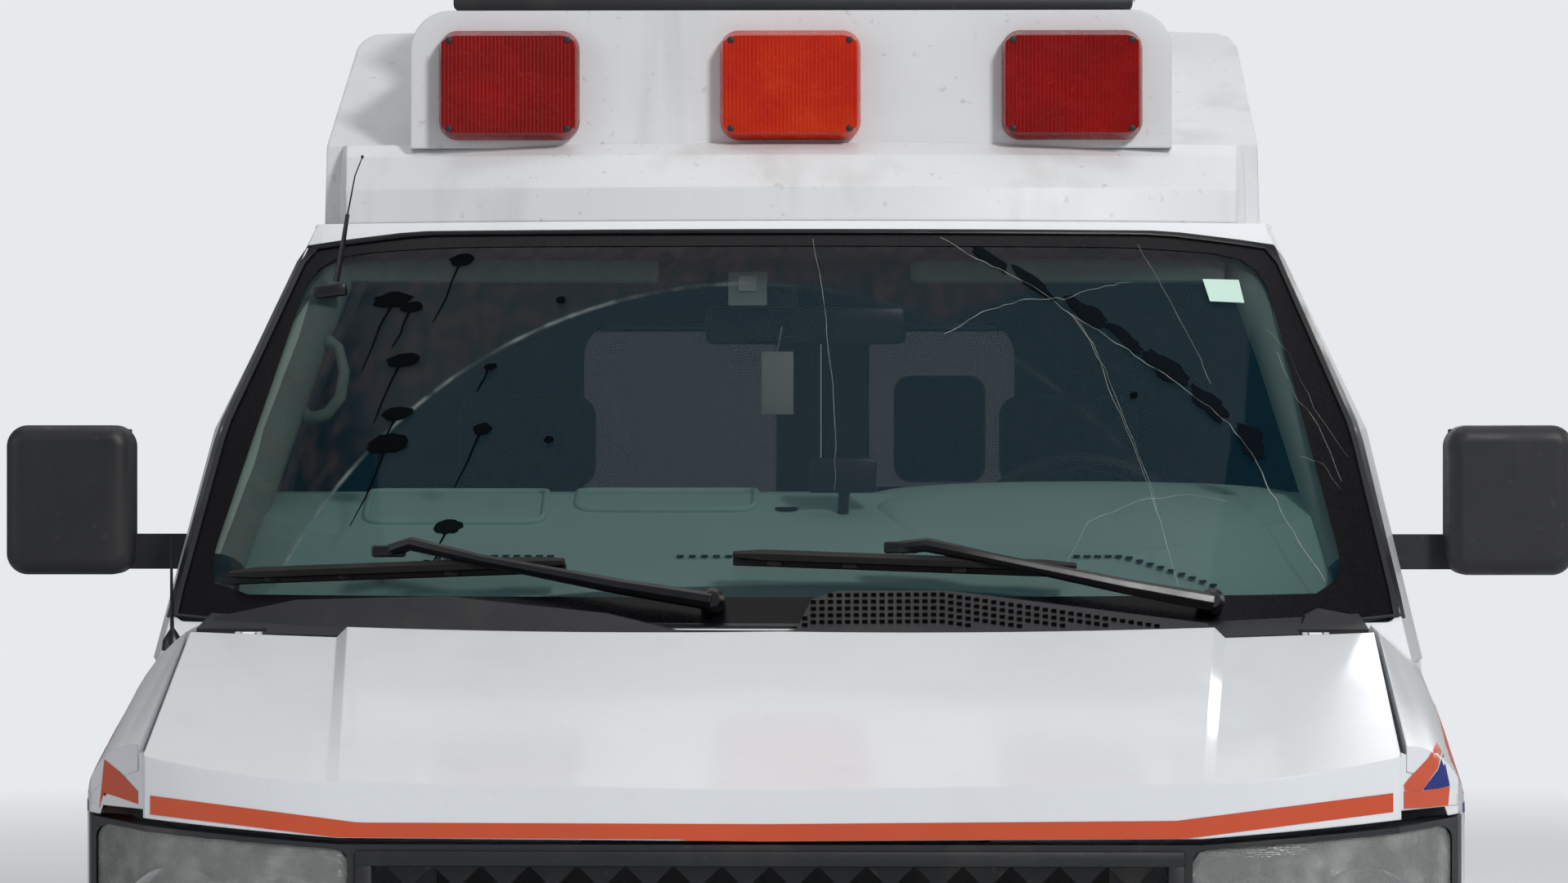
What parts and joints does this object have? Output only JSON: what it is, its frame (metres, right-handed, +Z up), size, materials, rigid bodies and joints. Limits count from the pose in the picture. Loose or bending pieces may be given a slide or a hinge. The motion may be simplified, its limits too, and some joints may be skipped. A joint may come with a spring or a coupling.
{
  "type": "raised-roof van ambulance",
  "caption": "Van ambulance with hinged hood and doors, steered front wheels, raised roof with warning lamps, fitted cab and patient compartment.",
  "frame": {"origin": "on the ground, at the middle of the overall length and width", "axes": "+X to the driver's side, +Y to the rear of the vehicle, +Z up; the front faces -Y"},
  "size_m": [2.49, 5.69, 2.409],
  "materials": {
    "white_paint": "white enamel over steel",
    "roof_shell": "white gel coat over glass fibre",
    "frame_steel": "black chassis paint",
    "engine_metal": "dull cast metal",
    "tank_metal": "dull galvanised steel",
    "floor_lining": "grey vinyl floor over steel",
    "grille_plastic": "dark grey plastic",
    "lamp_lens": "clouded clear plastic",
    "bumper_metal": "white painted steel",
    "step_metal": "tread plate",
    "cowl_plastic": "black plastic",
    "screen_glass": "laminated glass with a slight green tint",
    "window_glass": "dark tinted glass",
    "mirror_plastic": "black grained plastic",
    "dash_plastic": "grey-green grained plastic",
    "wheel_rim": "white steel wheel",
    "tyre_rubber": "worn black tyre",
    "seat_cloth": "grey cloth",
    "seat_vinyl": "dark vinyl",
    "cabinet_laminate": "pale laminate",
    "red_lens": "red ribbed plastic",
    "bar_lens": "red lens with white ends"
  },
  "bodies": {
    "vehicle": {"chassis_frame": "frame_steel", "engine_block": "engine_metal", "radiator": "engine_metal", "front_axle": "frame_steel", "rear_axle": "frame_steel", "tank_and_exhaust": "tank_metal", "floor_pan": "floor_lining", "cab_frame": "white_paint", "body_side_left": "white_paint", "body_side_right": "white_paint", "side_window_left": "window_glass", "rear_frame": "white_paint", "raised_roof": "roof_shell", "front_fenders": "white_paint", "grille": "white_paint", "headlamps": "lamp_lens", "front_bumper": "bumper_metal", "rear_bumper": "step_metal", "cowl_panel": "cowl_plastic", "windscreen": "screen_glass", "wipers": "cowl_plastic", "dashboard": "dash_plastic", "steering_wheel": "cowl_plastic", "cab_seats": "seat_cloth", "partition": "cabinet_laminate", "cabinets": "cabinet_laminate", "bench": "cabinet_laminate", "bench_cushion": "seat_vinyl", "attendant_seat": "seat_vinyl", "roof_lamps": "red_lens", "light_bar": "bar_lens", "tail_lamps": "red_lens"},
    "hood": {"hood_panel": "white_paint"},
    "front_door_left": {"front_door_left": "white_paint", "front_door_glass_left": "window_glass", "mirror_left": "mirror_plastic"},
    "front_door_right": {"front_door_right": "white_paint", "front_door_glass_right": "window_glass", "mirror_right": "mirror_plastic"},
    "side_door_front": {"side_door_front": "white_paint", "side_door_glass_front": "window_glass"},
    "side_door_rear": {"side_door_rear": "white_paint", "side_door_glass_rear": "window_glass"},
    "rear_door_left": {"rear_door_left": "white_paint", "rear_door_glass_left": "window_glass"},
    "rear_door_right": {"rear_door_right": "white_paint", "rear_door_glass_right": "window_glass"},
    "knuckle_left": {"knuckle_left": "frame_steel"},
    "knuckle_right": {"knuckle_right": "frame_steel"},
    "wheel_front_left": {"rim_front_left": "wheel_rim", "tyre_front_left": "tyre_rubber"},
    "wheel_front_right": {"rim_front_right": "wheel_rim", "tyre_front_right": "tyre_rubber"},
    "wheel_rear_left": {"rim_rear_left": "wheel_rim", "tyre_rear_left": "tyre_rubber"},
    "wheel_rear_right": {"rim_rear_right": "wheel_rim", "tyre_rear_right": "tyre_rubber"}
  },
  "joints": [
    {"name": "hood_hinge", "type": "hinge", "parent": "vehicle", "child": "hood", "pos_m": [0, -1.93, 1.285], "axis": [-1, 0, 0], "range_deg": [0, 50]},
    {"name": "front_door_left_hinge", "type": "hinge", "parent": "vehicle", "child": "front_door_left", "pos_m": [1.003, -1.489, 0.7], "axis": [0, 0, -1], "range_deg": [0, 65]},
    {"name": "front_door_right_hinge", "type": "hinge", "parent": "vehicle", "child": "front_door_right", "pos_m": [-1.003, -1.489, 0.7], "axis": [0, 0, 1], "range_deg": [0, 65]},
    {"name": "side_door_front_hinge", "type": "hinge", "parent": "vehicle", "child": "side_door_front", "pos_m": [-1.003, -0.311, 0.7], "axis": [0, 0, 1], "range_deg": [0, 90]},
    {"name": "side_door_rear_hinge", "type": "hinge", "parent": "vehicle", "child": "side_door_rear", "pos_m": [-1.003, 0.981, 0.7], "axis": [0, 0, -1], "range_deg": [0, 90]},
    {"name": "rear_door_left_hinge", "type": "hinge", "parent": "vehicle", "child": "rear_door_left", "pos_m": [0.819, 2.767, 0.9], "axis": [0, 0, -1], "range_deg": [0, 165]},
    {"name": "rear_door_right_hinge", "type": "hinge", "parent": "vehicle", "child": "rear_door_right", "pos_m": [-0.819, 2.767, 0.9], "axis": [0, 0, 1], "range_deg": [0, 165]},
    {"name": "steer_left", "type": "hinge", "parent": "vehicle", "child": "knuckle_left", "pos_m": [0.79, -1.975, 0.387], "axis": [0, 0, 1], "range_deg": [-32, 32]},
    {"name": "steer_right", "type": "hinge", "parent": "vehicle", "child": "knuckle_right", "pos_m": [-0.79, -1.975, 0.387], "axis": [0, 0, 1], "range_deg": [-32, 32]},
    {"name": "wheel_front_left_spin", "type": "hinge", "parent": "knuckle_left", "child": "wheel_front_left", "pos_m": [0.874, -1.975, 0.387], "axis": [1, 0, 0], "continuous": true},
    {"name": "wheel_front_right_spin", "type": "hinge", "parent": "knuckle_right", "child": "wheel_front_right", "pos_m": [-0.874, -1.975, 0.387], "axis": [1, 0, 0], "continuous": true},
    {"name": "wheel_rear_left_spin", "type": "hinge", "parent": "vehicle", "child": "wheel_rear_left", "pos_m": [0.863, 1.455, 0.387], "axis": [1, 0, 0], "continuous": true},
    {"name": "wheel_rear_right_spin", "type": "hinge", "parent": "vehicle", "child": "wheel_rear_right", "pos_m": [-0.863, 1.455, 0.387], "axis": [1, 0, 0], "continuous": true}
  ],
  "couplings": [
    {"joint": "steer_right", "follows": "steer_left", "ratio": 1}
  ]
}
